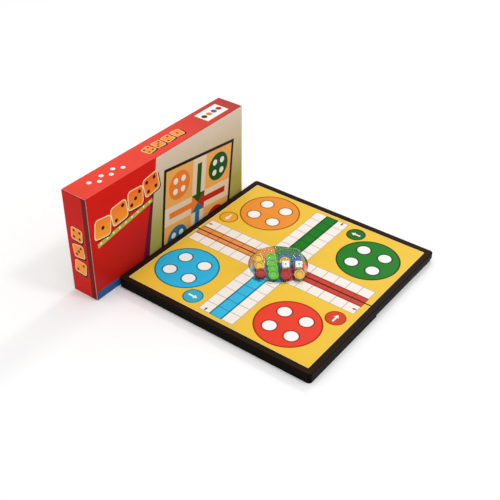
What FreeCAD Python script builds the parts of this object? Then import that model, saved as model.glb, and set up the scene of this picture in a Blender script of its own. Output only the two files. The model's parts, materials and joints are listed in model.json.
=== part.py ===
# Folding magnetic ludo game with its bag of counters and dice and its tuck-end carton, in millimetres.
# The board lies open on the table: x runs along the fold, y away from the player, z up.
# The carton stands on its long edge at the board's left. The origin is on the table, amid the set.
import FreeCAD, Part
import math
import os
import re
import Sketcher
from FreeCAD import Placement, Rotation, Vector

SIZES = {
    # Board halves: black moulded shells with a recessed steel plate and printed sheet
    "board_side": 319.0,
    "shell_height": 15.0,
    "shell_wall": 3.0,
    "panel_thickness": 1.8,
    "rim_width": 9.5,
    "corner_radius": 5.0,
    "edge_round": 1.5,
    "bed_corner": 1.5,
    "bed_clearance": 0.15,
    "sheet_step": 1.0,
    "sheet_thickness": 0.3,
    "plate_thickness": 0.4,
    "seam_gap": 0.3,
    "seam_lip": 0.8,
    "lip_thickness": 1.5,
    "rib_thickness": 1.2,
    "rib_depth": 2.0,
    "rib_pitch": 60.0,
    # Two knuckle hinges under the seam
    "knuckle_radius": 2.5,
    "knuckle_length": 8.0,
    "knuckle_gap": 0.3,
    "hinge_inset": 59.5,
    "pin_diameter": 2.0,
    "pin_clearance": 0.05,
    "running_clearance": 0.3,
    # Counters and their magnets
    "counter_diameter": 16.0,
    "counter_height": 5.0,
    "magnet_side": 8.0,
    "magnet_thickness": 2.0,
    "magnet_clearance": 0.1,
    # Dice
    "die_side": 10.0,
    "die_edge": 1.0,
    "pip_diameter": 1.9,
    "pip_depth": 0.4,
    "pip_pitch": 2.6,
    # Heap of counters in the clear bag
    "counter_gap": 2.0,
    "stack_gap": 0.25,
    "resting_gap": 0.15,
    "film_thickness": 0.2,
    "bag_margin": 4.8,
    "bag_headroom": 0.6,
    "bag_corner": 11.5,
    "crown_inset": 13.0,
    "crown_drop": 11.0,
    "bag_turn": 36.8,
    "bag_right": 5.8,
    "bag_front": 10.6,
    # Carton: one folded board blank with tuck flaps and dust flaps at both ends
    "card_thickness": 0.7,
    "carton_ease": 1.0,
    "carton_spare_height": 2.5,
    "carton_spare_depth": 17.5,
    "carton_gap": 0.8,
    "carton_overhang": 42.0,
    "fold_round": 0.5,
    "flap_gap": 0.2,
    "tongue_length": 10.0,
    "tongue_inset": 1.6,
    "tongue_end": 9.0,
    "dust_length": 48.0,
    "dust_gap": 0.2,
    "dust_side": 0.5,
    "dust_taper": 6.0,
}

KNUCKLES_PER_HINGE = 5
FRONT_SLOTS = (0, 2, 4)
REAR_SLOTS = (1, 3)
SIDE_RIBS = (1, 2)
# Leaning rows of the heap from left to right. Colours run from the player's side to the far side, angles are
# in degrees, and a row's shift away from the player is in parts of a counter's diameter.
HEAP = (
    {"colours": ("red", "yellow", "yellow"), "lean": 18, "heading": 6, "shift": 0.1},
    {"colours": ("green", "green", "green", "green"), "lean": 24, "heading": 4, "shift": 0.0},
    {"colours": ("red", "red", "blue", "yellow", "blue"), "lean": 33, "heading": 1, "shift": 0.0},
    {"colours": ("yellow", "red", "blue", "blue"), "lean": 27, "heading": 4, "shift": -0.08},
)
LONGEST_ROW = max(HEAP, key=lambda line: len(line["colours"]))
# Pips are cut with few sides, which still look round at their size
PIP_SIDES = 8
PIP_PLACES = {
    1: ((0, 0),),
    2: ((-1, -1), (1, 1)),
    3: ((-1, -1), (0, 0), (1, 1)),
    4: ((-1, -1), (-1, 1), (1, -1), (1, 1)),
    5: ((-1, -1), (-1, 1), (0, 0), (1, -1), (1, 1)),
    6: ((-1, -1), (-1, 0), (-1, 1), (1, -1), (1, 0), (1, 1)),
}

# Lengths that several pieces share, as texts of the sizes above
SHEET_LENGTH = "(board_side - 2 * rim_width)"
SHEET_TOP = "(shell_height - sheet_step)"
PLATE_SEAT = "(shell_height - sheet_step - sheet_thickness - plate_thickness)"
TRAY_DEPTH = "(shell_height - sheet_step - sheet_thickness - plate_thickness - panel_thickness)"
SEAM_INNER = "(seam_gap / 2 + shell_wall)"
INTERLOCK = "(2 * knuckle_radius + running_clearance)"
SKIRT = "(knuckle_radius + running_clearance / 2)"
HINGE_OFFSET = "(board_side / 2 - hinge_inset)"
HINGE_LENGTH = f"({KNUCKLES_PER_HINGE} * knuckle_length)"
COLUMN_PITCH = "(counter_diameter + counter_gap)"
LEAN_PITCHES = [f"((counter_height + stack_gap) / sin({line['lean']} deg))" for line in HEAP]
HEAP_DEPTH = (f"({len(LONGEST_ROW['colours']) - 1} * {LEAN_PITCHES[HEAP.index(LONGEST_ROW)]}"
              " + counter_diameter + counter_height)")
HEAP_HEIGHT = f"(counter_diameter * sin({LONGEST_ROW['lean']} deg) + counter_height + die_side)"
BAG_LENGTH = f"({len(HEAP)} * {COLUMN_PITCH} + 2 * bag_margin)"
BAG_WIDTH = f"({HEAP_DEPTH} + bag_margin)"
BAG_HEIGHT = f"({HEAP_HEIGHT} + bag_headroom)"
END_FOLD = "(card_thickness + flap_gap)"
CARTON_LENGTH = "(board_side + carton_ease + 4 * card_thickness + 2 * flap_gap)"
CARTON_HEIGHT = "(board_side / 2 + carton_spare_height + 2 * card_thickness)"
CARTON_DEPTH = "(2 * (shell_height - knuckle_radius) + carton_spare_depth + 2 * card_thickness)"
TONGUE_FACE = f"({CARTON_DEPTH} - card_thickness - tongue_inset)"
# The middle of the board, measured from the middle of the whole set
BOARD_X = f"((carton_gap + {CARTON_DEPTH}) / 2)"
BOARD_Y = "(carton_overhang / 2)"

doc = FreeCAD.newDocument("MagneticLudo")
sheet = doc.addObject("Spreadsheet::Sheet", "Sizes")
for row, (alias, size) in enumerate(SIZES.items(), 1):
    sheet.set(f"A{row}", alias)
    sheet.set(f"B{row}", str(size))
    sheet.setAlias(f"B{row}", alias)
gauge = doc.addObject("App::FeaturePython", "Gauge")
gauge.addProperty("App::PropertyFloat", "Reading")
doc.recompute()
nodes = []


def mm(alias):
    return float(sheet.get(alias))


def formula(text):
    return re.sub("[a-z_]+", lambda word: f"Sizes.{word[0]}" if word[0] in SIZES else word[0], text)


def number(text):
    # The value of a text of sizes
    gauge.setExpression("Reading", formula(text))
    gauge.recompute()
    return gauge.Reading


def bind(item, **lengths):
    for name, text in lengths.items():
        item.setExpression(name, formula(text))


def move(item, x, y, z):
    for axis, text in zip("xyz", (x, y, z)):
        item.setExpression(f"Placement.Base.{axis}", formula(text))


def new_node(kind, label):
    item = doc.addObject(kind, label)
    item.Label = label
    nodes.append(item)
    return item


# Sketch helpers. A loop is drawn roughly, then its constraints, bound to the sheet, bring it to size.

def sketch_on(body, role, name, offset=None):
    sketch = body.newObject("Sketcher::SketchObject", f"{body.Name}_{name}")
    plane = next(feature for feature in body.Origin.OriginFeatures if feature.Role == role)
    sketch.AttachmentSupport = (plane, [""])
    sketch.MapMode = "FlatFace"
    if offset:
        sketch.setExpression("AttachmentOffset.Base.z", formula(offset))
    return sketch


def dimension(sketch, kind, start, text, *where):
    index = sketch.addConstraint(Sketcher.Constraint(kind, *where, start))
    name = f"size_{index}"
    sketch.renameConstraint(index, name)
    sketch.setExpression(f"Constraints.{name}", formula(text))


def place_point(sketch, geometry, point, x, y):
    for kind, text, axis in (("DistanceX", x, -2), ("DistanceY", y, -1)):
        if text == "0":
            sketch.addConstraint(Sketcher.Constraint("PointOnObject", geometry, point, axis))
        else:
            dimension(sketch, kind, 1.0, text, -1, 1, geometry, point)


def polygon(sketch, corners):
    first = sketch.GeometryCount
    count = len(corners)
    turns = [2 * math.pi * index / count for index in range(count + 1)]
    rough_middle, rough_reach = Vector(20, 20, 0), 9
    spots = [rough_middle + Vector(math.cos(turn), math.sin(turn), 0) * rough_reach for turn in turns]
    sketch.addGeometry([Part.LineSegment(a, b) for a, b in zip(spots, spots[1:])])
    for index, (x, y) in enumerate(corners):
        following = first + (index + 1) % count
        sketch.addConstraint(Sketcher.Constraint("Coincident", first + index, 2, following, 1))
        place_point(sketch, first + index, 1, x, y)


def rectangle(sketch, left, low, right, high):
    polygon(sketch, ((left, low), (right, low), (right, high), (left, high)))


def circle(sketch, diameter, x, y):
    rough_radius = 1.0
    rough_centre = Vector(2, 2, 0)
    index = sketch.addGeometry(Part.Circle(rough_centre, Vector(0, 0, 1), rough_radius))
    place_point(sketch, index, 3, x, y)
    dimension(sketch, "Diameter", 2 * rough_radius, diameter, index)


def join_smoothly(sketch, first, joints):
    for geometry, following in joints:
        sketch.addConstraint(Sketcher.Constraint("Tangent", first + geometry, 2, first + following, 1))


def tray_loop(sketch, width, near, far, corner):
    # Half a board from above, in rough sizes first: square corners at the seam, round ones on the far side
    half, depth, turn = 50.0, 40.0, 5.0
    up = Vector(0, 0, 1)
    right = Part.Circle(Vector(half - turn, depth - turn, 0), up, turn)
    left = Part.Circle(Vector(turn - half, depth - turn, 0), up, turn)
    first = sketch.GeometryCount
    sketch.addGeometry([
        Part.LineSegment(Vector(-half, 1, 0), Vector(half, 1, 0)),
        Part.LineSegment(Vector(half, 1, 0), Vector(half, depth - turn, 0)),
        Part.ArcOfCircle(right, 0, math.pi / 2),
        Part.LineSegment(Vector(half - turn, depth, 0), Vector(turn - half, depth, 0)),
        Part.ArcOfCircle(left, math.pi / 2, math.pi),
        Part.LineSegment(Vector(-half, depth - turn, 0), Vector(-half, 1, 0)),
    ])
    join_smoothly(sketch, first, ((1, 2), (2, 3), (3, 4), (4, 5)))
    for constraint in (("Coincident", first, 2, first + 1, 1), ("Coincident", first + 5, 2, first, 1),
                       ("Vertical", first + 1), ("Horizontal", first + 3), ("Vertical", first + 5),
                       ("Equal", first + 2, first + 4), ("Symmetric", first, 1, first, 2, -2)):
        sketch.addConstraint(Sketcher.Constraint(*constraint))
    dimension(sketch, "DistanceX", 2 * half, width, first, 1, first, 2)
    if near == "0":
        sketch.addConstraint(Sketcher.Constraint("PointOnObject", first, 1, -1))
    else:
        dimension(sketch, "DistanceY", 1.0, near, -1, 1, first, 1)
    dimension(sketch, "DistanceY", depth, far, -1, 1, first + 3, 1)
    dimension(sketch, "Radius", turn, corner, first + 2)


def pillow_loop(sketch, length, width, corner):
    # Rectangle about the origin with its corners cut off
    half, side = f"({length}) / 2", f"({width}) / 2"
    short, low = f"({half} - ({corner}))", f"({side} - ({corner}))"
    polygon(sketch, ((short, f"-{side}"), (half, f"-{low}"), (half, low), (short, side), (f"-{short}", side),
                     (f"-{half}", low), (f"-{half}", f"-{low}"), (f"-{short}", f"-{side}")))


# Feature helpers

def pad(body, sketch, length, reverse=False):
    feature = body.newObject("PartDesign::Pad", f"{sketch.Name}_pad")
    feature.Profile = sketch
    feature.Reversed = reverse
    bind(feature, Length=length)
    doc.recompute()
    return feature


def pocket(body, sketch, length, reverse=False, symmetric=False):
    before = body.Shape.Volume
    feature = body.newObject("PartDesign::Pocket", f"{sketch.Name}_pocket")
    feature.Profile = sketch
    feature.Reversed = reverse
    if symmetric:
        feature.SideType = "Symmetric"
    bind(feature, Length=length)
    doc.recompute()
    if body.Shape.Volume >= before:
        raise RuntimeError(f"{feature.Name} cuts nothing")
    return feature


def soften(body, kind, chosen, **size):
    base = body.Tip
    names = [f"Edge{index}" for index, edge in enumerate(base.Shape.Edges, 1) if chosen(edge)]
    feature = body.newObject(f"PartDesign::{kind}", f"{base.Name}_{kind.lower()}")
    feature.Base = (base, names)
    bind(feature, **size)
    doc.recompute()
    return feature


def mirrored(body, originals):
    feature = body.newObject("PartDesign::Mirrored", f"{body.Name}_mirrored")
    plane = next(item for item in body.Origin.OriginFeatures if item.Role == "YZ_Plane")
    feature.MirrorPlane = (plane, [""])
    feature.Originals = originals
    body.Tip = feature
    doc.recompute()


# Board halves. Each is drawn with its seam at y = 0 and its far side along +y; the front one is turned.

def board_frame(turn=0):
    return Placement(Vector(number(BOARD_X), number(BOARD_Y), 0), Rotation(Vector(0, 0, 1), turn))


def tray_sketch(body, name, level, width, near, far, corner):
    sketch = sketch_on(body, "XY_Plane", name, level)
    tray_loop(sketch, width, near, far, corner)
    return sketch


def hinge_knuckle(body, slot):
    # A barrel about the hinge axis, with a web up its own side of the seam
    start = f"{HINGE_OFFSET} + {slot - KNUCKLES_PER_HINGE / 2} * knuckle_length + knuckle_gap / 2"
    sketch = sketch_on(body, "YZ_Plane", f"knuckle_{slot}", start)
    # Rough sizes: the barrel's radius, the top of the web and its near side
    reach, top, near = 2.5, 5.3, 0.15
    barrel = Part.Circle(Vector(0, reach, 0), Vector(0, 0, 1), reach)
    sketch.addGeometry([
        Part.ArcOfCircle(barrel, math.acos(near / reach), 2 * math.pi),
        Part.LineSegment(Vector(reach, reach, 0), Vector(reach, top, 0)),
        Part.LineSegment(Vector(reach, top, 0), Vector(near, top, 0)),
        Part.LineSegment(Vector(near, top, 0), Vector(near, 2 * reach, 0)),
    ])
    for constraint in (("Coincident", 0, 2, 1, 1), ("Coincident", 1, 2, 2, 1), ("Coincident", 2, 2, 3, 1),
                       ("Coincident", 3, 2, 0, 1), ("Vertical", 1), ("Horizontal", 2), ("Vertical", 3)):
        sketch.addConstraint(Sketcher.Constraint(*constraint))
    place_point(sketch, 0, 3, "0", "knuckle_radius")
    dimension(sketch, "Radius", reach, "knuckle_radius", 0)
    dimension(sketch, "DistanceY", reach, "knuckle_radius", -1, 1, 0, 2)
    dimension(sketch, "DistanceY", top, INTERLOCK, -1, 1, 2, 1)
    dimension(sketch, "DistanceX", near, "seam_gap / 2", -1, 1, 2, 2)
    return pad(body, sketch, "knuckle_length - knuckle_gap")


def outer_lip(body):
    # The front half keeps the outside of its wall, and a skirt closes the seam side between the lips
    sketch = tray_sketch(body, "lip", None, "board_side - 2 * lip_thickness", "0",
                         "board_side / 2 - lip_thickness", "corner_radius - lip_thickness")
    pocket(body, sketch, INTERLOCK, reverse=True)
    skirt = sketch_on(body, "XY_Plane", "skirt", SKIRT)
    half = "(board_side / 2 - shell_wall - running_clearance)"
    rectangle(skirt, f"-{half}", "seam_gap / 2", half, SEAM_INNER)
    pad(body, skirt, SKIRT)


def inner_lip(body):
    # The rear half keeps the inside of its wall, which slips inside the front half's lip when shut
    sketch = sketch_on(body, "XY_Plane", "lip")
    inset = "(lip_thickness + running_clearance)"
    tray_loop(sketch, "board_side + 2 * shell_wall", "0", "board_side / 2 + shell_wall", "corner_radius")
    tray_loop(sketch, f"board_side - 2 * {inset}", "seam_gap / 4", f"board_side / 2 - {inset}",
              f"corner_radius - {inset}")
    pocket(body, sketch, INTERLOCK, reverse=True)
    seam = sketch_on(body, "XY_Plane", "seam_wall")
    half = "(board_side / 2 - shell_wall)"
    rectangle(seam, f"-{half}", "0", half, SEAM_INNER)
    pocket(body, seam, SKIRT, reverse=True)


def half_shell(label, placement, slots, lip):
    body = new_node("PartDesign::Body", label)
    outline = tray_sketch(body, "outline", None, "board_side", "seam_gap / 2", "board_side / 2",
                          "corner_radius")
    pad(body, outline, "shell_height")
    seam = mm("seam_gap") / 2
    top = mm("shell_height")
    soften(body, "Fillet", lambda edge: edge.BoundBox.ZMin > top - 0.01 and edge.BoundBox.YMax > seam + 0.01,
           Radius="edge_round")
    bed_width = f"{SHEET_LENGTH} + 2 * bed_clearance"
    bed_far = "board_side / 2 - rim_width + bed_clearance"
    recess = tray_sketch(body, "recess", "shell_height", bed_width, "0", bed_far, "bed_corner")
    pocket(body, recess, "sheet_step")
    bed = tray_sketch(body, "bed", SHEET_TOP, bed_width, "seam_gap / 2 + seam_lip", bed_far, "bed_corner")
    pocket(body, bed, "sheet_thickness + plate_thickness")
    tray = tray_sketch(body, "tray", None, "board_side - 2 * shell_wall", SEAM_INNER,
                       "board_side / 2 - shell_wall", "corner_radius - shell_wall")
    pocket(body, tray, TRAY_DEPTH, reverse=True)
    lip(body)
    middle_rib = sketch_on(body, "XY_Plane", "middle_rib", TRAY_DEPTH)
    rectangle(middle_rib, "-rib_thickness / 2", SEAM_INNER, "rib_thickness / 2",
              "board_side / 2 - shell_wall")
    pad(body, middle_rib, "rib_depth", reverse=True)
    bay = sketch_on(body, "XY_Plane", "hinge_bay")
    bay_reach = f"({HINGE_LENGTH} / 2 + running_clearance)"
    rectangle(bay, f"{HINGE_OFFSET} - {bay_reach}", "0", f"{HINGE_OFFSET} + {bay_reach}", SEAM_INNER)
    repeated = [pocket(body, bay, INTERLOCK, reverse=True)]
    repeated += [hinge_knuckle(body, slot) for slot in slots]
    bore = sketch_on(body, "YZ_Plane", "bore", HINGE_OFFSET)
    circle(bore, "pin_diameter + 2 * pin_clearance", "0", "knuckle_radius")
    repeated.append(pocket(body, bore, HINGE_LENGTH, symmetric=True))
    for count in SIDE_RIBS:
        rib = sketch_on(body, "XY_Plane", f"rib_{count}", TRAY_DEPTH)
        rectangle(rib, f"{count} * rib_pitch - rib_thickness / 2", SEAM_INNER,
                  f"{count} * rib_pitch + rib_thickness / 2", "board_side / 2 - shell_wall")
        repeated.append(pad(body, rib, "rib_depth", reverse=True))
    mirrored(body, repeated)
    body.Placement = placement


def half_sheet(label, placement, level, thickness):
    # The steel plate and the printed sheet fill the same bed, one on the other
    body = new_node("PartDesign::Body", label)
    outline = tray_sketch(body, "outline", level, SHEET_LENGTH, "seam_gap / 2 + seam_lip + bed_clearance",
                          "board_side / 2 - rim_width", "bed_corner")
    pad(body, outline, thickness)
    body.Placement = placement


def hinge_pin(label, side):
    pin = new_node("Part::Cylinder", label)
    length = f"({HINGE_LENGTH} - knuckle_gap)"
    bind(pin, Radius="pin_diameter / 2", Height=length)
    pin.Placement = Placement(Vector(0, 0, 0), Rotation(Vector(0, 1, 0), 90))
    move(pin, f"{BOARD_X} + {side} * {HINGE_OFFSET} - {length} / 2", BOARD_Y, "knuckle_radius")


# Heap of counters and dice in the clear bag. The bag's own frame has +x to the right as the player sits.

def bag_frame():
    place = Vector(mm("bag_right"), -mm("bag_front"), number(f"{SHEET_TOP} + resting_gap"))
    return board_frame() * Placement(place, Rotation(Vector(0, 0, 1), mm("bag_turn")))


def heap_frame(column, row):
    # A counter leans towards the player, with the next one's near edge tucked under it
    line = HEAP[column]
    across = (column - (len(HEAP) - 1) / 2) * number(COLUMN_PITCH)
    middle = Vector(across, line["shift"] * mm("counter_diameter"), mm("film_thickness") + mm("resting_gap"))
    along = (row - (len(line["colours"]) - 1) / 2) * number(LEAN_PITCHES[column])
    height = mm("counter_diameter") / 2 * math.sin(math.radians(line["lean"]))
    tilted = Placement(Vector(0, along, height), Rotation(Vector(1, 0, 0), line["lean"]))
    return bag_frame() * Placement(middle, Rotation(Vector(0, 0, 1), line["heading"])) * tilted


def counter(label, placement):
    # A moulded disc with a seat for its magnet below
    body = new_node("PartDesign::Body", label)
    disc = sketch_on(body, "XY_Plane", "disc")
    circle(disc, "counter_diameter", "0", "0")
    pad(body, disc, "counter_height")
    seat = sketch_on(body, "XY_Plane", "seat")
    half = "(magnet_side / 2 + magnet_clearance)"
    rectangle(seat, f"-{half}", f"-{half}", half, half)
    pocket(body, seat, "magnet_thickness", reverse=True)
    body.Placement = placement


def magnet_group(label, placements):
    # Squares of magnet sheet, one in the seat of each counter
    group = new_node("Part::Compound", label)
    corner = Placement(Vector(-mm("magnet_side") / 2, -mm("magnet_side") / 2, 0), Rotation())
    magnets = []
    for count, placement in enumerate(placements, 1):
        magnet = doc.addObject("Part::Box", f"{label}_{count}")
        bind(magnet, Length="magnet_side", Width="magnet_side", Height="magnet_thickness")
        magnet.Placement = placement * corner
        magnets.append(magnet)
    group.Links = magnets


def pip(sketch, across, up):
    turns = [(index + 0.5) * 360 / PIP_SIDES for index in range(PIP_SIDES)]
    polygon(sketch, [(f"{across} * pip_pitch + pip_diameter / 2 * cos({turn} deg)",
                      f"{up} * pip_pitch + pip_diameter / 2 * sin({turn} deg)") for turn in turns])


def die(label, column, row, turn):
    body = new_node("PartDesign::Body", label)
    square = sketch_on(body, "XY_Plane", "square", "-die_side / 2")
    half = "die_side / 2"
    rectangle(square, f"-{half}", f"-{half}", half, half)
    pad(body, square, "die_side")
    soften(body, "Chamfer", lambda edge: True, Size="die_edge")
    # Opposite faces add up to seven
    for low, role in enumerate(("XY_Plane", "XZ_Plane", "YZ_Plane"), 1):
        for count, side in ((low, 1), (7 - low, -1)):
            face = sketch_on(body, role, f"face_{count}", f"{side} * die_side / 2")
            for place in PIP_PLACES[count]:
                pip(face, *place)
            pocket(body, face, "pip_depth", reverse=side < 0)
    # It lies on the counter, close to the edge of the one that leans over it
    free_edge = f"counter_diameter / 2 - {LEAN_PITCHES[column]} * cos({HEAP[column]['lean']} deg)"
    reach = f"die_side / 2 * (cos({abs(turn)} deg) + sin({abs(turn)} deg))"
    along = number(f"{free_edge} + {reach} + resting_gap")
    lift = number("counter_height + resting_gap + die_side / 2")
    on_top = Placement(Vector(0, along, lift), Rotation(Vector(0, 0, 1), turn))
    body.Placement = heap_frame(column, row) * on_top


def pillow(name, level, inset):
    # The bag's form: flat below, sloping in to its crown above
    body = doc.addObject("PartDesign::Body", name)
    outline = sketch_on(body, "XY_Plane", "outline", level)
    pillow_loop(outline, f"{BAG_LENGTH} - 2 * {inset}", f"{BAG_WIDTH} - 2 * {inset}", f"bag_corner - {inset}")
    pad(body, outline, f"{BAG_HEIGHT} - 2 * {inset}")
    top = body.Shape.BoundBox.ZMax
    crown = soften(body, "Chamfer", lambda edge: edge.BoundBox.ZMin > top - 0.01, Size="crown_inset",
                   Size2="crown_drop")
    crown.ChamferType = "Two distances"
    doc.recompute()
    return body


def counter_bag(label):
    # The clear film round the heap, sealed all round
    outside = pillow("bag_outside", None, "0")
    inside = pillow("bag_inside", "film_thickness", "film_thickness")
    bag = new_node("Part::Cut", label)
    bag.Base = outside
    bag.Tool = inside
    bag.Placement = bag_frame()


def heap():
    places = {}
    for column, line in enumerate(HEAP):
        for row, colour in enumerate(line["colours"]):
            places.setdefault(colour, []).append(heap_frame(column, row))
    for colour, placements in places.items():
        for count, placement in enumerate(placements, 1):
            counter(f"{colour}_counter_{count}", placement)
        magnet_group(f"{colour}_magnets", placements)
    # The dice lie on the second counters of the two right-hand rows, turned a little
    die("die_1", 2, 1, 5.0)
    die("die_2", 3, 1, -6.0)
    counter_bag("counter_bag")


# Carton. Its own frame starts at the low outer corner of its back and left end: x to the front, y along it.

def carton_frame(turned=False):
    x = number(f"-(board_side / 2 + carton_gap + {CARTON_DEPTH})")
    y = number("-(board_side / 2 + carton_overhang)")
    corner = board_frame() * Placement(Vector(x, y, 0), Rotation())
    if not turned:
        return corner
    # The right end is the left one turned half round, end for end and top for bottom
    far = Vector(0, number(CARTON_LENGTH), number(CARTON_HEIGHT))
    return corner * Placement(far, Rotation(Vector(1, 0, 0), 180))


def carton_sleeve(label):
    body = new_node("PartDesign::Body", label)
    tube = sketch_on(body, "XZ_Plane", "tube", f"-{END_FOLD}")
    rectangle(tube, "0", "0", CARTON_DEPTH, CARTON_HEIGHT)
    rectangle(tube, "card_thickness", "card_thickness",
              f"{CARTON_DEPTH} - card_thickness", f"{CARTON_HEIGHT} - card_thickness")
    pad(body, tube, f"{CARTON_LENGTH} - 2 * {END_FOLD}", reverse=True)
    front = sketch_on(body, "XZ_Plane", "front_panel")
    rectangle(front, f"{CARTON_DEPTH} - card_thickness", "0", CARTON_DEPTH, CARTON_HEIGHT)
    pad(body, front, CARTON_LENGTH, reverse=True)
    depth = number(CARTON_DEPTH)
    height = number(CARTON_HEIGHT)

    def outer_fold(edge):
        box = edge.BoundBox
        along = box.YLength > depth and box.XLength < 0.01 and box.ZLength < 0.01
        return along and min(box.XMin, depth - box.XMin) < 0.01 and min(box.ZMin, height - box.ZMin) < 0.01

    soften(body, "Fillet", outer_fold, Radius="fold_round")
    body.Placement = carton_frame()


def tuck_flap(label, turned):
    body = new_node("PartDesign::Body", label)
    panel = sketch_on(body, "XZ_Plane", "panel")
    edge = f"({CARTON_DEPTH} - card_thickness - flap_gap)"
    shoulder = f"({edge} - 2 * tongue_inset)"
    high = f"({CARTON_HEIGHT} - flap_gap)"
    notch = "tongue_end / 2"
    polygon(panel, (("0", "flap_gap"), (shoulder, "flap_gap"), (edge, f"flap_gap + {notch}"),
                    (edge, f"{high} - {notch}"), (shoulder, high), ("0", high)))
    pad(body, panel, "card_thickness", reverse=True)
    tongue = sketch_on(body, "YZ_Plane", "tongue", f"{TONGUE_FACE} - card_thickness")
    tip = "(tongue_end + tongue_length / 2)"
    polygon(tongue, (("card_thickness", "tongue_end"), ("tongue_length", tip),
                     ("tongue_length", f"{CARTON_HEIGHT} - {tip}"),
                     ("card_thickness", f"{CARTON_HEIGHT} - tongue_end")))
    pad(body, tongue, "card_thickness")
    body.Placement = carton_frame(turned)


def dust_flap(label, upper, turned):
    body = new_node("PartDesign::Body", label)
    sketch = sketch_on(body, "XZ_Plane", "panel", f"-{END_FOLD}")
    near = "card_thickness + dust_side"
    far = f"({TONGUE_FACE} - card_thickness - dust_side)"
    fold = "(card_thickness + dust_gap)"
    tip = "(card_thickness + dust_length)"
    if upper:
        fold = f"{CARTON_HEIGHT} - {fold}"
        tip = f"{CARTON_HEIGHT} - {tip}"
    polygon(sketch, ((near, fold), (far, fold), (f"{far} - dust_taper", tip), (near, tip)))
    pad(body, sketch, "card_thickness", reverse=True)
    body.Placement = carton_frame(turned)


def carton():
    carton_sleeve("carton_sleeve")
    for end, turned in (("left", False), ("right", True)):
        tuck_flap(f"{end}_tuck_flap", turned)
        dust_flap(f"{end}_upper_dust_flap", not turned, turned)
        dust_flap(f"{end}_lower_dust_flap", turned, turned)


def check_and_write():
    doc.recompute()
    for item in doc.Objects:
        if "Invalid" in item.State or "Error" in item.State:
            raise RuntimeError(f"{item.Name} failed: {item.State}")
    for node in nodes:
        if node.Shape.isNull() or not node.Shape.isValid():
            raise RuntimeError(f"{node.Label} has no valid shape")
    os.makedirs("parts", exist_ok=True)
    for node in nodes:
        node.Shape.exportStep(f"parts/{node.Label}.step")
        box = node.Shape.BoundBox
        print(f"{node.Label}: {len(node.Shape.Solids)} solid, {node.Shape.Volume:.1f} mm3, "
              f"{box.XLength:.1f} x {box.YLength:.1f} x {box.ZLength:.1f} mm")


front = board_frame(180)
rear = board_frame()
half_shell("front_shell", front, FRONT_SLOTS, outer_lip)
half_shell("rear_shell", rear, REAR_SLOTS, inner_lip)
for half, where in (("front", front), ("rear", rear)):
    half_sheet(f"{half}_steel_plate", where, PLATE_SEAT, "plate_thickness")
    half_sheet(f"{half}_print_sheet", where, f"{PLATE_SEAT} + plate_thickness", "sheet_thickness")
hinge_pin("left_hinge_pin", -1)
hinge_pin("right_hinge_pin", 1)
heap()
carton()
check_and_write()
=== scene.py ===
# Folding magnetic ludo game: its looks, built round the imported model.
# Lengths in the dictionaries are millimetres. Pieces are placed in metres, in the model's own frame.
import json
import math

import bmesh
import bpy
import numpy as np
from mathutils import Matrix, Vector, noise
from mathutils.bvhtree import BVHTree
from mathutils.geometry import delaunay_2d_cdt


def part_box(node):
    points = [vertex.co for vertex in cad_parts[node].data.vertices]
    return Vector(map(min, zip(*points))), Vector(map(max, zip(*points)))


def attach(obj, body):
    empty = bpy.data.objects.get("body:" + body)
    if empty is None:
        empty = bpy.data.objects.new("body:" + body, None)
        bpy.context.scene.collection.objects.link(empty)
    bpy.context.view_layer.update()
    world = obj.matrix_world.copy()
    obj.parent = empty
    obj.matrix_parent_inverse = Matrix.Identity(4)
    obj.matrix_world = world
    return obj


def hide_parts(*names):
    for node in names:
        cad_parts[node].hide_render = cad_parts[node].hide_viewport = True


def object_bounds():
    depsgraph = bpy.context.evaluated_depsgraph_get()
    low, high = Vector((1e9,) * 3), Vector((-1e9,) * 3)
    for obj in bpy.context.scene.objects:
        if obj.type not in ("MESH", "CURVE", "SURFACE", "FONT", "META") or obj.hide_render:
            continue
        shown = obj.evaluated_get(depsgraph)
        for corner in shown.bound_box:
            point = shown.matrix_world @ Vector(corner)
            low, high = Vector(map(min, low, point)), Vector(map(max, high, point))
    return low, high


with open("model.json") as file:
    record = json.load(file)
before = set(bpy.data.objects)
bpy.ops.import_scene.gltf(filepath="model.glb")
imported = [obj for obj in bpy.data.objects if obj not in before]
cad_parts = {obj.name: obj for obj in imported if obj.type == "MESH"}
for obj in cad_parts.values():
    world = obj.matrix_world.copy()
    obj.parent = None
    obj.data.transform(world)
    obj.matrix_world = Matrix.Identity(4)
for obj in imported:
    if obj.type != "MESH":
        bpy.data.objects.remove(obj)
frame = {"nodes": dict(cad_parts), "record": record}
cadLow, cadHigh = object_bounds()
nodes = frame["nodes"]
scene = bpy.context.scene
mm = 0.001
sheetLow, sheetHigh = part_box("front_print_sheet")[0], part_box("rear_print_sheet")[1]
boardMiddle = Vector(((sheetLow.x + sheetHigh.x) / 2, (sheetLow.y + sheetHigh.y) / 2, sheetHigh.z))
print("frame loaded,", len(nodes), "nodes")


# Materials: one function adds a node, one starts a material

def linear(colour):
    if not isinstance(colour, str):
        return colour
    channels = [int(colour[place:place + 2], 16) / 255 for place in (1, 3, 5)]
    return [c / 12.92 if c <= 0.04045 else ((c + 0.055) / 1.055) ** 2.4 for c in channels] + [1.0]


def shade(colour, factor):
    return [min(1.0, channel * factor) for channel in linear(colour)[:3]] + [1.0]


def perMetre(sizeMm):
    return 1.0 / (sizeMm * mm)


def addNode(tree, kind, settings=None, links=None):
    node = tree.nodes.new(kind)
    for name, value in (settings or {}).items():
        if isinstance(name, int) or name in node.inputs:
            node.inputs[name].default_value = value
        else:
            setattr(node, name, value)
    for name, source in (links or {}).items():
        tree.links.new(source, node.inputs[name])
    return node


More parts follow.
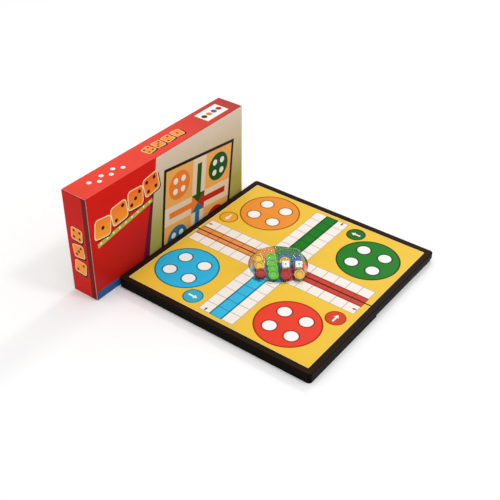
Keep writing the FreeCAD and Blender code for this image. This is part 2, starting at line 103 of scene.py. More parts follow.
def startMaterial(name, surface):
    material = bpy.data.materials.new(name)
    material.use_nodes = True
    tree = material.node_tree
    tree.nodes.clear()
    shader = addNode(tree, "ShaderNodeBsdfPrincipled", surface)
    addNode(tree, "ShaderNodeOutputMaterial", links={"Surface": shader.outputs["BSDF"]})
    spot = addNode(tree, "ShaderNodeTexCoord").outputs["Object"]
    return material, tree, shader, spot


def mouldedAbs(name, sheenTopColour, shadeSideColour):
    # ABS, injection moulded: faces that look up get a lighter brown-grey, a painted sheen,
    # while the walls get a deeper black, painted shade: a lit and a shaded copy chosen by which way a face
    # looks
    material, tree, shader, spot = startMaterial(name, {"IOR": 1.53, "Specular IOR Level": 0.025})
    facing = addNode(tree, "ShaderNodeSeparateXYZ", links={"Vector": spot.node.outputs["Normal"]})
    up = addNode(tree, "ShaderNodeMapRange", {"From Min": 0.35, "From Max": 0.95},
                 {"Value": facing.outputs["Z"]})
    cloud = addNode(tree, "ShaderNodeTexNoise", {"Scale": perMetre(35), "Detail": 3.0}, {"Vector": spot})
    litAndShadedTones = []
    for colour in (shadeSideColour, sheenTopColour):
        settings = {"data_type": "RGBA", 6: shade(colour, 0.75), 7: shade(colour, 1.3)}
        litAndShadedTones.append(addNode(tree, "ShaderNodeMix", settings, {0: cloud.outputs["Fac"]}).outputs[2])
    tone = addNode(tree, "ShaderNodeMix", {"data_type": "RGBA"},
                   {0: up.outputs["Result"], 6: litAndShadedTones[0], 7: litAndShadedTones[1]})
    tree.links.new(tone.outputs[2], shader.inputs["Base Color"])
    # The tool's grain is about 0.1 mm, drawn at 0.7 mm so that it shows
    grain = addNode(tree, "ShaderNodeTexNoise", {"Scale": perMetre(0.7), "Detail": 2.0}, {"Vector": spot})
    rough = addNode(tree, "ShaderNodeMapRange", {"To Min": 0.3, "To Max": 0.46},
                    {"Value": grain.outputs["Fac"]})
    tree.links.new(rough.outputs["Result"], shader.inputs["Roughness"])
    bump = addNode(tree, "ShaderNodeBump", {"Strength": 0.25, "Distance": 0.05 * mm},
                   {"Height": grain.outputs["Fac"]})
    tree.links.new(bump.outputs["Normal"], shader.inputs["Normal"])
    return material


def offsetInk(name, hexColour):
    # Offset ink under gloss laminate: screen dots mottle the tone, and the laminate has a slight orange peel
    material, tree, shader, spot = startMaterial(name, {"IOR": 1.5, "Specular IOR Level": 0.07})
    # Screen dots are about 0.15 mm apart, drawn at 0.9 mm so that they show
    dots = addNode(tree, "ShaderNodeTexVoronoi", {"Scale": perMetre(0.9), "Randomness": 0.35},
                   {"Vector": spot})
    cloud = addNode(tree, "ShaderNodeTexNoise", {"Scale": perMetre(22), "Detail": 2.0}, {"Vector": spot})
    mixed = addNode(tree, "ShaderNodeMath", {"operation": "MULTIPLY"},
                    {0: dots.outputs["Distance"], 1: cloud.outputs["Fac"]})
    tone = addNode(tree, "ShaderNodeMix",
                   {"data_type": "RGBA", 6: shade(hexColour, 1.03), 7: shade(hexColour, 0.9)},
                   {0: mixed.outputs["Value"]})
    tree.links.new(tone.outputs[2], shader.inputs["Base Color"])
    rough = addNode(tree, "ShaderNodeMapRange", {"To Min": 0.32, "To Max": 0.44},
                    {"Value": cloud.outputs["Fac"]})
    tree.links.new(rough.outputs["Result"], shader.inputs["Roughness"])
    peel = addNode(tree, "ShaderNodeTexNoise", {"Scale": perMetre(3), "Detail": 1.0}, {"Vector": spot})
    bump = addNode(tree, "ShaderNodeBump", {"Strength": 0.12, "Distance": 0.05 * mm},
                   {"Height": peel.outputs["Fac"]})
    tree.links.new(bump.outputs["Normal"], shader.inputs["Normal"])
    return material


def printedCarton(name, hexColour, planes):
    # Duplex board, litho printed and varnished on its outer faces, bare and pale inside and at cut edges.
    # planes are the outer faces, as (axis, level): print shows within 0.25 mm of them, and rubs off
    # along their folds.
    material, tree, shader, spot = startMaterial(name, {"IOR": 1.5, "Specular IOR Level": 0.06})
    split = addNode(tree, "ShaderNodeSeparateXYZ", links={"Vector": spot})
    scuff = addNode(tree, "ShaderNodeTexNoise", {"Scale": perMetre(2.5), "Detail": 4.0}, {"Vector": spot})
    cloud = addNode(tree, "ShaderNodeTexNoise", {"Scale": perMetre(60), "Detail": 2.0}, {"Vector": spot})
    near = {}
    for axis, level in planes:
        away = addNode(tree, "ShaderNodeMath", {"operation": "SUBTRACT", 1: level}, {0: split.outputs[axis]})
        near.setdefault(axis, []).append(
            addNode(tree, "ShaderNodeMath", {"operation": "ABSOLUTE"}, {0: away.outputs[0]}).outputs[0])
    gaps = []
    for levels in near.values():
        gap = levels[0]
        for other in levels[1:]:
            gap = addNode(tree, "ShaderNodeMath", {"operation": "MINIMUM"}, {0: gap, 1: other}).outputs[0]
        gaps.append(gap)
    nearest, farthest = gaps[0], gaps[0]
    for gap in gaps[1:]:
        nearest = addNode(tree, "ShaderNodeMath", {"operation": "MINIMUM"}, {0: nearest, 1: gap}).outputs[0]
        farthest = addNode(tree, "ShaderNodeMath", {"operation": "MAXIMUM"}, {0: farthest, 1: gap}).outputs[0]
    inked = addNode(tree, "ShaderNodeMath", {"operation": "LESS_THAN", 1: 0.25 * mm}, {0: nearest})
    tone = addNode(tree, "ShaderNodeMix",
                   {"data_type": "RGBA", 6: shade(hexColour, 0.9), 7: shade(hexColour, 1.12)},
                   {0: cloud.outputs["Fac"]}).outputs[2]
    if len(gaps) > 1:
        reach = addNode(tree, "ShaderNodeMapRange",
                        {"From Min": 0.6, "From Max": 0.85, "To Min": 0.0, "To Max": 0.7 * mm},
                        {"Value": scuff.outputs["Fac"]})
        worn = addNode(tree, "ShaderNodeMath", {"operation": "LESS_THAN"},
                       {0: farthest, 1: reach.outputs["Result"]})
        tone = addNode(tree, "ShaderNodeMix", {"data_type": "RGBA", 7: linear("#E9B9A4")},
                       {0: worn.outputs[0], 6: tone}).outputs[2]
    fibre = addNode(tree, "ShaderNodeMix", {"data_type": "RGBA", 6: linear("#CFC6B6"), 7: linear("#E6DFD0")},
                    {0: scuff.outputs["Fac"]})
    colour = addNode(tree, "ShaderNodeMix", {"data_type": "RGBA"},
                     {0: inked.outputs[0], 6: fibre.outputs[2], 7: tone})
    tree.links.new(colour.outputs[2], shader.inputs["Base Color"])
    rough = addNode(tree, "ShaderNodeMapRange", {"To Min": 0.85, "To Max": 0.36}, {"Value": inked.outputs[0]})
    tree.links.new(rough.outputs["Result"], shader.inputs["Roughness"])
    bump = addNode(tree, "ShaderNodeBump", {"Strength": 0.15, "Distance": 0.1 * mm},
                   {"Height": scuff.outputs["Fac"]})
    tree.links.new(bump.outputs["Normal"], shader.inputs["Normal"])
    return material


def cartonInk(name, hexColour, fade=None):
    # Litho ink under a thin varnish; fade is (axis, from mm, to mm, hex), a tint laid across the panel
    material, tree, shader, spot = startMaterial(
        name, {"IOR": 1.5, "Roughness": 0.36, "Specular IOR Level": 0.06})
    cloud = addNode(tree, "ShaderNodeTexNoise", {"Scale": perMetre(45), "Detail": 3.0}, {"Vector": spot})
    tone = addNode(tree, "ShaderNodeMix",
                   {"data_type": "RGBA", 6: shade(hexColour, 0.92), 7: shade(hexColour, 1.08)},
                   {0: cloud.outputs["Fac"]}).outputs[2]
    if fade:
        axis, start, end, second = fade
        split = addNode(tree, "ShaderNodeSeparateXYZ", links={"Vector": spot})
        share = addNode(tree, "ShaderNodeMapRange", {"From Min": start * mm, "From Max": end * mm},
                        {"Value": split.outputs[axis]})
        tone = addNode(tree, "ShaderNodeMix", {"data_type": "RGBA", 7: linear(second)},
                       {0: share.outputs["Result"], 6: tone}).outputs[2]
    tree.links.new(tone, shader.inputs["Base Color"])
    fibre = addNode(tree, "ShaderNodeTexNoise", {"Scale": perMetre(1.5), "Detail": 3.0}, {"Vector": spot})
    bump = addNode(tree, "ShaderNodeBump", {"Strength": 0.1, "Distance": 0.08 * mm},
                   {"Height": fibre.outputs["Fac"]})
    tree.links.new(bump.outputs["Normal"], shader.inputs["Normal"])
    return material


def polystyrene(name, hexColour):
    # Polystyrene, injection moulded off polished steel: bright gloss, and light soaks in a little
    material, tree, shader, spot = startMaterial(
        name, {"IOR": 1.59, "Specular IOR Level": 0.25, "Subsurface Weight": 0.15,
               "Subsurface Scale": 1.5 * mm})
    flow = addNode(tree, "ShaderNodeTexNoise", {"Scale": perMetre(6), "Detail": 2.0}, {"Vector": spot})
    tone = addNode(tree, "ShaderNodeMix",
                   {"data_type": "RGBA", 6: shade(hexColour, 0.9), 7: shade(hexColour, 1.1)},
                   {0: flow.outputs["Fac"]})
    tree.links.new(tone.outputs[2], shader.inputs["Base Color"])
    rough = addNode(tree, "ShaderNodeMapRange", {"To Min": 0.12, "To Max": 0.26},
                    {"Value": flow.outputs["Fac"]})
    tree.links.new(rough.outputs["Result"], shader.inputs["Roughness"])
    return material


def blownFilm(name):
    # Low-density polyethylene film: clear and glossy, with faint lines from the die it was blown through
    material, tree, shader, spot = startMaterial(
        name, {"IOR": 1.28, "Transmission Weight": 1.0, "Roughness": 0.04, "Base Color": linear("#FBFDFD")})
    lines = addNode(tree, "ShaderNodeTexWave", {"Scale": perMetre(9), "Distortion": 3.0, "Detail": 2.0},
                    {"Vector": spot})
    bump = addNode(tree, "ShaderNodeBump", {"Strength": 0.2, "Distance": 0.15 * mm},
                   {"Height": lines.outputs["Fac"]})
    tree.links.new(bump.outputs["Normal"], shader.inputs["Normal"])
    return material


def rolledMetal(name, hexColour, lineMm, rough):
    # Rolled or drawn steel: fine lines along its length
    material, tree, shader, spot = startMaterial(name, {"Metallic": 1.0, "Base Color": linear(hexColour)})
    fine = perMetre(lineMm)
    stretch = addNode(tree, "ShaderNodeMapping", {"Scale": (fine / 30, fine, fine)}, {"Vector": spot})
    lines = addNode(tree, "ShaderNodeTexNoise", {"Scale": 1.0, "Detail": 2.0},
                    {"Vector": stretch.outputs["Vector"]})
    spread = addNode(tree, "ShaderNodeMapRange", {"To Min": rough - 0.08, "To Max": rough + 0.08},
                     {"Value": lines.outputs["Fac"]})
    tree.links.new(spread.outputs["Result"], shader.inputs["Roughness"])
    return material


def magnetSheet(name):
    # Ferrite in rubber, rolled to sheet and punched: dull and dark, slightly speckled
    material, tree, shader, spot = startMaterial(name, {"Roughness": 0.75, "IOR": 1.6})
    speck = addNode(tree, "ShaderNodeTexNoise", {"Scale": perMetre(0.6), "Detail": 2.0}, {"Vector": spot})
    tone = addNode(tree, "ShaderNodeMix", {"data_type": "RGBA", 6: linear("#2A2724"), 7: linear("#3A3632")},
                   {0: speck.outputs["Fac"]})
    tree.links.new(tone.outputs[2], shader.inputs["Base Color"])
    return material


def studioPaper(name):
    # Seamless white paper roll: matt, with hardly any tooth
    material, tree, shader, spot = startMaterial(name, {"Roughness": 0.9, "Specular IOR Level": 0.2})
    tooth = addNode(tree, "ShaderNodeTexNoise", {"Scale": perMetre(3), "Detail": 2.0}, {"Vector": spot})
    tone = addNode(tree, "ShaderNodeMix", {"data_type": "RGBA", 6: linear("#FBFBFB"), 7: linear("#FEFEFE")},
                   {0: tooth.outputs["Fac"]})
    tree.links.new(tone.outputs[2], shader.inputs["Base Color"])
    return material


# Pieces

def dress(material, *names):
    for name in names:
        mesh = nodes[name].data
        mesh.materials.clear()
        mesh.materials.append(material)


def addPiece(name, mesh, materials, body, stoodFor=()):
    for material in materials:
        mesh.materials.append(material)
    piece = bpy.data.objects.new(name, mesh)
    scene.collection.objects.link(piece)
    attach(piece, body)
    if stoodFor:
        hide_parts(*stoodFor)
    return piece


def meshOf(name, shape, smooth=False):
    mesh = bpy.data.meshes.new(name)
    shape.normal_update()
    shape.to_mesh(mesh)
    shape.free()
    for face in mesh.polygons:
        face.use_smooth = smooth
    return mesh


# Flat outlines for print, in millimetres

fourCorners = ((-1, -1), (1, -1), (1, 1), (-1, 1))


def disc(centre, radius, sides=72):
    turns = [2 * math.pi * step / sides for step in range(sides)]
    return [(centre[0] + radius * math.cos(turn), centre[1] + radius * math.sin(turn)) for turn in turns]


def block(left, low, right, high):
    return [(left, low), (right, low), (right, high), (left, high)]


def turned(points, quarters):
    for _ in range(quarters):
        points = [(-y, x) for x, y in points]
    return points


def moved(points, across, up, degrees=0.0):
    turn = math.radians(degrees)
    return [(across + x * math.cos(turn) - y * math.sin(turn), up + x * math.sin(turn) + y * math.cos(turn))
            for x, y in points]


def roundedBlock(width, height, radius, sides=6):
    points = []
    for corner, (sideX, sideY) in enumerate(((1, 1), (-1, 1), (-1, -1), (1, -1))):
        for step in range(sides + 1):
            turn = (corner + step / sides) * math.pi / 2
            points.append((sideX * (width / 2 - radius) + radius * math.cos(turn),
                           sideY * (height / 2 - radius) + radius * math.sin(turn)))
    return points


def arrow(length, height, shaft):
    tip, back = length / 2, -length / 2
    neck = tip - height * 0.75
    return [(back, -shaft / 2), (neck, -shaft / 2), (neck, -height / 2), (tip, 0), (neck, height / 2),
            (neck, shaft / 2), (back, shaft / 2)]


def printedSheet(name, regions, inks, place, thickness, body, stoodFor=()):
    # Regions lie over each other, the last on top, and are trimmed to the first: one sheet, cut by ink
    points, faces = [], []
    for outline, ink in regions:
        faces.append(list(range(len(points), len(points) + len(outline))))
        points += [Vector(point) for point in outline]
    spots, _, cells, _, _, sources = delaunay_2d_cdt(points, [], faces, 1, 1e-5)
    used = sorted({ink for _, ink in regions})
    shape = bmesh.new()
    corners = [shape.verts.new(place @ Vector((spot[0] * mm, spot[1] * mm, 0))) for spot in spots]
    up = place.to_3x3() @ Vector((0, 0, 1))
    for cell, source in zip(cells, sources):
        if 0 not in source:
            continue
        face = shape.faces.new([corners[index] for index in cell])
        face.material_index = used.index(regions[max(source)][1])
        face.normal_update()
        if face.normal.dot(up) < 0:
            face.normal_flip()
    loose = [corner for corner in shape.verts if not corner.link_faces]
    bmesh.ops.delete(shape, geom=loose, context="VERTS")
    top = list(shape.faces)
    lower = bmesh.ops.extrude_face_region(shape, geom=top, use_keep_orig=True)
    sunk = [item for item in lower["geom"] if isinstance(item, bmesh.types.BMVert)]
    bmesh.ops.translate(shape, verts=sunk, vec=-up * thickness * mm)
    bmesh.ops.recalc_face_normals(shape, faces=list(shape.faces))
    return addPiece(name, meshOf(name, shape), [inks[ink] for ink in used], body, stoodFor)


# The play sheets: the traditional cross track, four yards and a home disc, printed over both halves

boardPrint = {
    "shift": (-2.5, 0.3), "cell": 19.0, "length": 6, "line": 1.0, "columnLine": 2.3, "seamShadeWidth": 1.7,
    "margin": 1.3, "corner": 1.5,
    "homeRadius": 42.3, "homeEdge": 1.6, "yard": (96.8, 84.6), "yardRadius": 46.2, "yardEdge": 2.2,
    "spotStep": 17.3, "spotRadius": 9.5, "spotEdge": 2.0,
    "badge": (50.0, 128.0), "badgeRadius": 14.5, "badgeEdge": 1.7, "badgeArrow": (15.0, 7.5, 2.8),
    "mark": (19.3, 138.0), "markArrow": (7.0, 5.0, 2.0),
}
boardInks = {
    "field": "#EBC03D", "margin": "#F3DB9B", "cell": "#F0E8DF", "line": "#AD9C86", "spot": "#F2F0EE",
    # The seam ink is painted shade along the fold
    "glyph": "#F3F1EA", "seam": "#3A1C0C",
    "greenFill": "#17791A", "greenEdge": "#083D0C", "greenColumn": "#0F7717", "greenBadge": "#1B6914",
    "orangeFill": "#EB9030", "orangeEdge": "#9C5F10", "orangeColumn": "#E5904F", "orangeBadge": "#EBA637",
    "blueFill": "#2CB3DF", "blueEdge": "#1A6E7C", "blueColumn": "#34B5DD", "blueBadge": "#35ADC8",
    "redFill": "#E63E2A", "redEdge": "#9C2F03", "redColumn": "#C54033", "redBadge": "#D34022",
}
homeOrder = ("green", "orange", "blue", "red")


def homeRegions(home, quarters):
    p = boardPrint
    cell, line = p["cell"], p["line"] / 2
    side, end = 1.5 * cell, (1.5 + p["length"]) * cell
    fill, edge, column = home + "Fill", home + "Edge", home + "Column"
    parts = [(block(-side, side, side, end), "cell"), (block(-cell / 2, side, cell / 2, end), column)]
    for step in range(p["length"] + 1):
        level = side + step * cell
        parts.append((block(-side, level - line, side, level + line), "line"))
        parts.append((block(-cell / 2, level - line, cell / 2, level + line), edge))
    bold = p["columnLine"] / 2
    for wall, half, ink in ((side, line, "line"), (cell / 2, bold, edge)):
        for place in (-wall, wall):
            parts.append((block(place - half, side, place + half, end), ink))
    yard, step = p["yard"], p["spotStep"]
    parts.append((disc(yard, p["yardRadius"], 96), edge))
    parts.append((disc(yard, p["yardRadius"] - p["yardEdge"], 96), fill))
    for x, y in fourCorners:
        centre = (yard[0] + x * step, yard[1] + y * step)
        parts.append((disc(centre, p["spotRadius"] + p["spotEdge"], 48), edge))
        parts.append((disc(centre, p["spotRadius"], 48), "spot"))
    parts.append((disc(p["badge"], p["badgeRadius"], 60), edge))
    parts.append((disc(p["badge"], p["badgeRadius"] - p["badgeEdge"], 60), home + "Badge"))
    parts.append((moved(arrow(*p["badgeArrow"]), *p["badge"], 180), "glyph"))
    parts.append((moved(arrow(*p["markArrow"]), *p["mark"], -90), edge))
    return [(turned(outline, quarters), ink) for outline, ink in parts]


def homeSector(radius, quarters, sides=24):
    arc = [math.pi / 4 + math.pi / 2 * step / sides for step in range(sides + 1)]
    return turned([(0, 0)] + [(radius * math.cos(turn), radius * math.sin(turn)) for turn in arc], quarters)


def sheetOutline(low, high, inset, corner):
    # One half's sheet seen from above, about the middle of the board: round corners on the far side only
    left, right = (low.x - boardMiddle.x) / mm + inset, (high.x - boardMiddle.x) / mm - inset
    near, far = (low.y - boardMiddle.y) / mm, (high.y - boardMiddle.y) / mm
    if abs(near) > abs(far):
        near, far = far, near
    outward = math.copysign(1, far)
    far -= outward * inset
    points = [(left, near), (right, near)]
    for middle, begin in ((right - corner, 0.0), (left + corner, 0.5)):
        for step in range(5):
            turn = (begin + step / 8) * math.pi
            points.append((middle + corner * math.cos(turn), far + outward * corner * (math.sin(turn) - 1)))
    return points if outward > 0 else points[::-1]


def playSheets():
    p = boardPrint
    inks = {ink: offsetInk("laminatedInk_" + ink, colour) for ink, colour in boardInks.items()}
    art = []
    for quarters, home in enumerate(homeOrder):
        art += homeRegions(home, quarters)
    for quarters, home in enumerate(homeOrder):
        art.append((homeSector(p["homeRadius"], quarters), home + "Edge"))
        art.append((homeSector(p["homeRadius"] - p["homeEdge"], quarters), home + "Fill"))
    art = [(moved(outline, *p["shift"]), ink) for outline, ink in art]
    # A dark band along the fold on both sheets: painted shade that widens the dark gap between the halves
    reach, seamShadeHalf = (2 + p["length"]) * p["cell"], p["seamShadeWidth"] / 2
    art.append((block(-reach, -seamShadeHalf, reach, seamShadeHalf), "seam"))
    place = Matrix.Translation(boardMiddle)
    for half in ("front", "rear"):
        low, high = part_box(half + "_print_sheet")
        whole = sheetOutline(low, high, 0.0, p["corner"])
        field = sheetOutline(low, high, p["margin"], p["corner"])
        printedSheet(half + "PlaySheet", [(whole, "margin"), (field, "field")] + art, inks, place,
                     (high.z - low.z) / mm, half + "_half", [half + "_print_sheet"])


playSheets()
print("play sheets printed")


# Shells, plates and hinge wires keep their modelled shape

# The lighter top colour is painted sheen, and the walls' deeper black is painted shade
dress(mouldedAbs("mouldedBlackAbs", "#281A0F", "#0A0706"), "front_shell", "rear_shell")
dress(rolledMetal("coldRolledTinplate", "#B9BBBD", 0.4, 0.34), "front_steel_plate", "rear_steel_plate")
dress(rolledMetal("drawnSpringWire", "#A9ABAE", 0.2, 0.3), "left_hinge_pin", "right_hinge_pin")
dress(magnetSheet("punchedMagnetSheet"), *[home + "_magnets" for home in ("red", "yellow", "blue", "green")])
print("shells dressed")


# The carton: printed board outside, bare board inside, with flat art on its front, back, top and ends

# backTrim keeps the back's art clear of an end flap that is folded right back.
# The ribbon and its dots are placed from the first tile, and the board sign by its middle.
cartonArt = {
    "lift": 0.02, "trim": 0.6, "backTrim": 3.0, "foot": 13.0,
    "slantTop": 133.0, "slantFoot": 104.0, "slantShade": 14.0,
    "boardSide": 158.0, "boardAt": (216.0, 48.0), "boardTurn": -7.0, "boardRim": 5.0,
    "tile": 31.0, "tileStep": 32.0, "tilesAt": (24.0, 108.0), "tileRise": 6.5, "tileLeans": (-8, 6, -4, 9),
    "ribbon": ((-12, -27), (96, -9), (96, -3), (-12, -20)),
    "dots": 9, "dotsFrom": (-6, -22), "dotStep": (12, 2), "dotRadius": 1.6,
}
roofPrint = {
    "tile": 17.0, "tilesFrom": 142.0, "tileStep": 20.0, "tileLeans": (7, -5, 4, -8),
    "dots": 6, "dotsFrom": 32.0, "dotStep": 11.0, "dotSway": 4.0, "dotRadius": 3.4,
    "label": (255.0, 303.0), "labelHeight": 26.0,
    "roundsFrom": 262.5, "roundStep": 11.0, "roundRadius": 4.6,
}
endPrint = {
    "edgeShade": 8.0, "tile": 21.0, "tilesFrom": 45.0, "tileStep": 27.0, "tileInset": 3.0,
    "tileLeans": (-6, 8, -5),
}
# A tile's parts as shares of its side, and its shadow's offset in millimetres
tileSign = {
    "corner": 0.2, "face": 0.9, "faceCorner": 0.16, "pipPitch": 0.25, "pip": 0.095, "shadow": (1.8, -2.2),
}
# Each ink has a tint, and some fade to a second one: along an axis, from and to in millimetres
cartonInks = {
    "red": ("#CE1812", (2, 120.0, 10.0, "#AC1B16")), "deep": ("#5E1430", None),
    "pale": ("#DEC9BC", (2, 178.0, 50.0, "#A29C4E")), "roof": ("#E64434", (1, 0.0, 140.0, "#B03A30")),
    # The end's dark band is painted shade at its edge by the front
    "end": ("#C61610", None), "endBand": ("#6B1210", None),
    "blue": ("#225689", None), "rim": ("#17100E", None), "field": ("#E3A456", None),
    "cell": ("#DDC9AE", None), "green": ("#0F4F17", None), "orange": ("#E2782A", None),
    "sky": ("#1F6C92", None), "scarlet": ("#B0231A", None), "spot": ("#E4E2DC", None),
    "tile": ("#F2962F", (2, 100.0, 150.0, "#E4542B")), "tileFlat": ("#F09238", None),
    "tileEdge": ("#F6D9A8", None),
    "shadow": ("#3A0C10", None), "lime": ("#A9B548", None), "white": ("#F2EDE8", None),
}
pipPlaces = {
    1: [(0, 0)], 2: [(-1, -1), (1, 1)], 3: [(-1, -1), (0, 0), (1, 1)],
    4: [(-1, -1), (-1, 1), (1, -1), (1, 1)], 5: [(-1, -1), (-1, 1), (0, 0), (1, -1), (1, 1)],
    6: [(-1, -1), (-1, 0), (-1, 1), (1, -1), (1, 0), (1, 1)],
}
signInks = ("green", "orange", "sky", "scarlet")


def dieTile(count, size, across, up, degrees, faceInk="tile"):
    # A die's face as a flat sign: dark shadow, pale edge, warm tile and dark pips
    p = tileSign
    outer = roundedBlock(size, size, size * p["corner"])
    inner = roundedBlock(size * p["face"], size * p["face"], size * p["faceCorner"])
    parts = [(moved(outer, *p["shadow"]), "shadow"), (outer, "tileEdge"), (inner, faceInk)]
    for x, y in pipPlaces[count]:
        centre = (x * size * p["pipPitch"], y * size * p["pipPitch"])
        parts.append((disc(centre, size * p["pip"], 20), "shadow"))
    return [(moved(outline, across, up, degrees), ink) for outline, ink in parts]


def boardSign(side, rim, across, up, degrees):
    # A plain ludo board as a flat sign, 15 cells a side: four corner rounds and the cross between them
    half, inner = side / 2, side / 2 - rim
    cell = inner / 7.5
    arm, yard, yardRadius, spotStep, spotRadius = [cells * cell for cells in (1.5, 4.5, 2.3, 0.85, 0.5)]
    parts = [(block(-half, -half, half, half), "rim"), (block(-inner, -inner, inner, inner), "field")]
    for quarters, home in enumerate(signInks):
        quarter = [(block(-arm, arm, arm, inner), "cell"),
                   (block(-cell / 2, arm, cell / 2, inner - cell), home),
                   (disc((yard, yard), yardRadius, 40), home),
                   ([(0, 0), (arm, arm), (-arm, arm)], home)]
        for x, y in fourCorners:
            quarter.append((disc((yard + x * spotStep, yard + y * spotStep), spotRadius, 16), "spot"))
        parts += [(turned(outline, quarters), ink) for outline, ink in quarter]
    return [(moved(outline, across, up, degrees), ink) for outline, ink in parts]


def mainArt(length, height, trim):
    p = cartonArt
    foot, head = p["slantFoot"], p["slantTop"]
    parts = [(block(trim, trim, length - trim, height - trim), "pale"),
             ([(trim, trim), (foot, trim), (head, height - trim), (trim, height - trim)], "red"),
             ([(foot - p["slantShade"], trim), (foot, trim), (head, height - trim)], "deep"),
             (block(trim, trim, length - trim, p["foot"]), "blue")]
    parts += boardSign(p["boardSide"], p["boardRim"], *p["boardAt"], p["boardTurn"])
    # A ribbon of lime under the tiles, with dots along it
    left, low = p["tilesAt"]
    parts.append((moved(p["ribbon"], left, low), "lime"))
    start, stride = p["dotsFrom"], p["dotStep"]
    for step in range(p["dots"]):
        centre = (left + start[0] + step * stride[0], low + start[1] + step * stride[1])
        parts.append((disc(centre, p["dotRadius"], 16), "white"))
    for step, lean in enumerate(p["tileLeans"]):
        parts += dieTile(step + 1, p["tile"], left + step * p["tileStep"], low + step * p["tileRise"], lean)
    return parts


def roofArt(length, depth):
    p, trim, middle = roofPrint, cartonArt["trim"], depth / 2
    parts = [(block(trim, trim, length - trim, depth - trim), "roof")]
    for step, lean in enumerate(p["tileLeans"]):
        parts += dieTile(4 - step, p["tile"], p["tilesFrom"] + step * p["tileStep"], middle, lean, "tileFlat")
    for step in range(p["dots"]):
        centre = (p["dotsFrom"] + step * p["dotStep"], middle + p["dotSway"] * (-1) ** step)
        parts.append((disc(centre, p["dotRadius"], 24), "white"))
    left, right = p["label"]
    rise = p["labelHeight"] / 2
    parts.append((block(left, middle - rise, right, middle + rise), "white"))
    for step, ink in enumerate(signInks):
        parts.append((disc((p["roundsFrom"] + step * p["roundStep"], middle), p["roundRadius"], 28), ink))
    return parts


def endArt(width, height, frontSide):
    # frontSide is 1 where the carton's front lies to the right of this end, -1 to the left
    p, trim = endPrint, cartonArt["trim"]
    parts = [(block(trim, trim, width - trim, height - trim), "end")]
    # A dark band down the edge by the front: painted shade at the carton's corner
    edge = width / 2 + frontSide * (width / 2 - trim)
    left, right = sorted((edge, edge - frontSide * p["edgeShade"]))
    parts.append((block(left, trim, right, height - trim), "endBand"))
    across = width / 2 - frontSide * p["tileInset"]
    for step, lean in enumerate(p["tileLeans"]):
        parts += dieTile(step + 2, p["tile"], across, p["tilesFrom"] + step * p["tileStep"], lean, "tileFlat")
    return parts


def panel(corner, across, up):
    # A panel's own frame: across, up and outward, with its origin at its low left corner
    across, up = Vector(across), Vector(up)
    outward = across.cross(up)
    turn = Matrix((across, up, outward)).transposed().to_4x4()
    return Matrix.Translation(Vector(corner) + outward * cartonArt["lift"] * mm) @ turn


def carton():
    low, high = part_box("carton_sleeve")
    length, height, depth = (high.y - low.y) / mm, (high.z - low.z) / mm, (high.x - low.x) / mm
    lift = cartonArt["lift"]
    outer = [(0, low.x), (0, high.x), (2, low.z), (2, high.z)]
    dress(printedCarton("varnishedCartonBoard", "#B4161A", outer), "carton_sleeve")
    inks = {ink: cartonInk("cartonInk_" + ink, *tint) for ink, tint in cartonInks.items()}
    front, back = [mainArt(length, height, cartonArt[trim]) for trim in ("trim", "backTrim")]
    sheets = {
        "cartonFrontArt": (front, panel((high.x, low.y, low.z), (0, 1, 0), (0, 0, 1)), "carton"),
        "cartonBackArt": (back, panel((low.x, high.y, low.z), (0, -1, 0), (0, 0, 1)), "carton"),
        "cartonRoofArt": (roofArt(length, depth), panel((high.x, low.y, high.z), (0, 1, 0), (-1, 0, 0)),
                          "carton"),
    }
    for end, sign in (("left", 1), ("right", -1)):
        flapLow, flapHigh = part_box(end + "_tuck_flap")
        level = flapLow.y if sign > 0 else flapHigh.y
        dress(printedCarton(f"varnishedCartonEnd_{end}", "#A51618", [(1, level)]), end + "_tuck_flap")
        # No face of the dust flaps lies near a plane a metre off, so they stay bare
        bare = printedCarton(f"bareCartonBoard_{end}", "#A51618", [(1, level - sign)])
        dress(bare, end + "_upper_dust_flap", end + "_lower_dust_flap")
        corner = (flapLow.x if sign > 0 else flapHigh.x, level, flapLow.z)
        art = endArt((flapHigh.x - flapLow.x) / mm, (flapHigh.z - flapLow.z) / mm, sign)
        sheets[end + "EndArt"] = (art, panel(corner, (sign, 0, 0), (0, 0, 1)), end + "_tuck")
    for name, (art, place, body) in sheets.items():
        printedSheet(name, art, inks, place, lift, body)


carton()
print("carton printed")


# Counters and dice

counterShape = {"radius": 8.0, "height": 5.0, "edge": 0.9, "ring": 1.8, "dish": 0.7, "seat": 8.2,
                "seatDepth": 2.05, "sides": 48, "rimShadeTone": 0.42, "sharpAngle": 40.0}
counterColours = {"red": "#B8201E", "yellow": "#E8B838", "blue": "#2A66A4", "green": "#66C236"}


def discFrame(node):
    # A counter's middle and axes, read from its node: it is thinnest along its own axis, and the walls of
    # its square seat, which lie well inside its rim, give its turn
    mesh = nodes[node].data
    points = np.array([corner.co for corner in mesh.vertices])
    middle = Vector((points.min(0) + points.max(0)) / 2)
    axis = np.linalg.svd(points - points.mean(0), full_matrices=False)[2][2]
    up = Vector(axis if axis[2] > 0 else -axis)
    side = up.orthogonal()
    wallReach = 0.55 * counterShape["seat"] * mm
    for face in mesh.polygons:
        upright = abs(face.normal.dot(up)) < 0.1
        if upright and (face.center - middle).cross(up).length < wallReach:
            side = face.normal.copy()
    across = up.cross(side).normalized()
    turn = Matrix((across.cross(up), across, up)).transposed().to_4x4()
    return Matrix.Translation(middle) @ turn


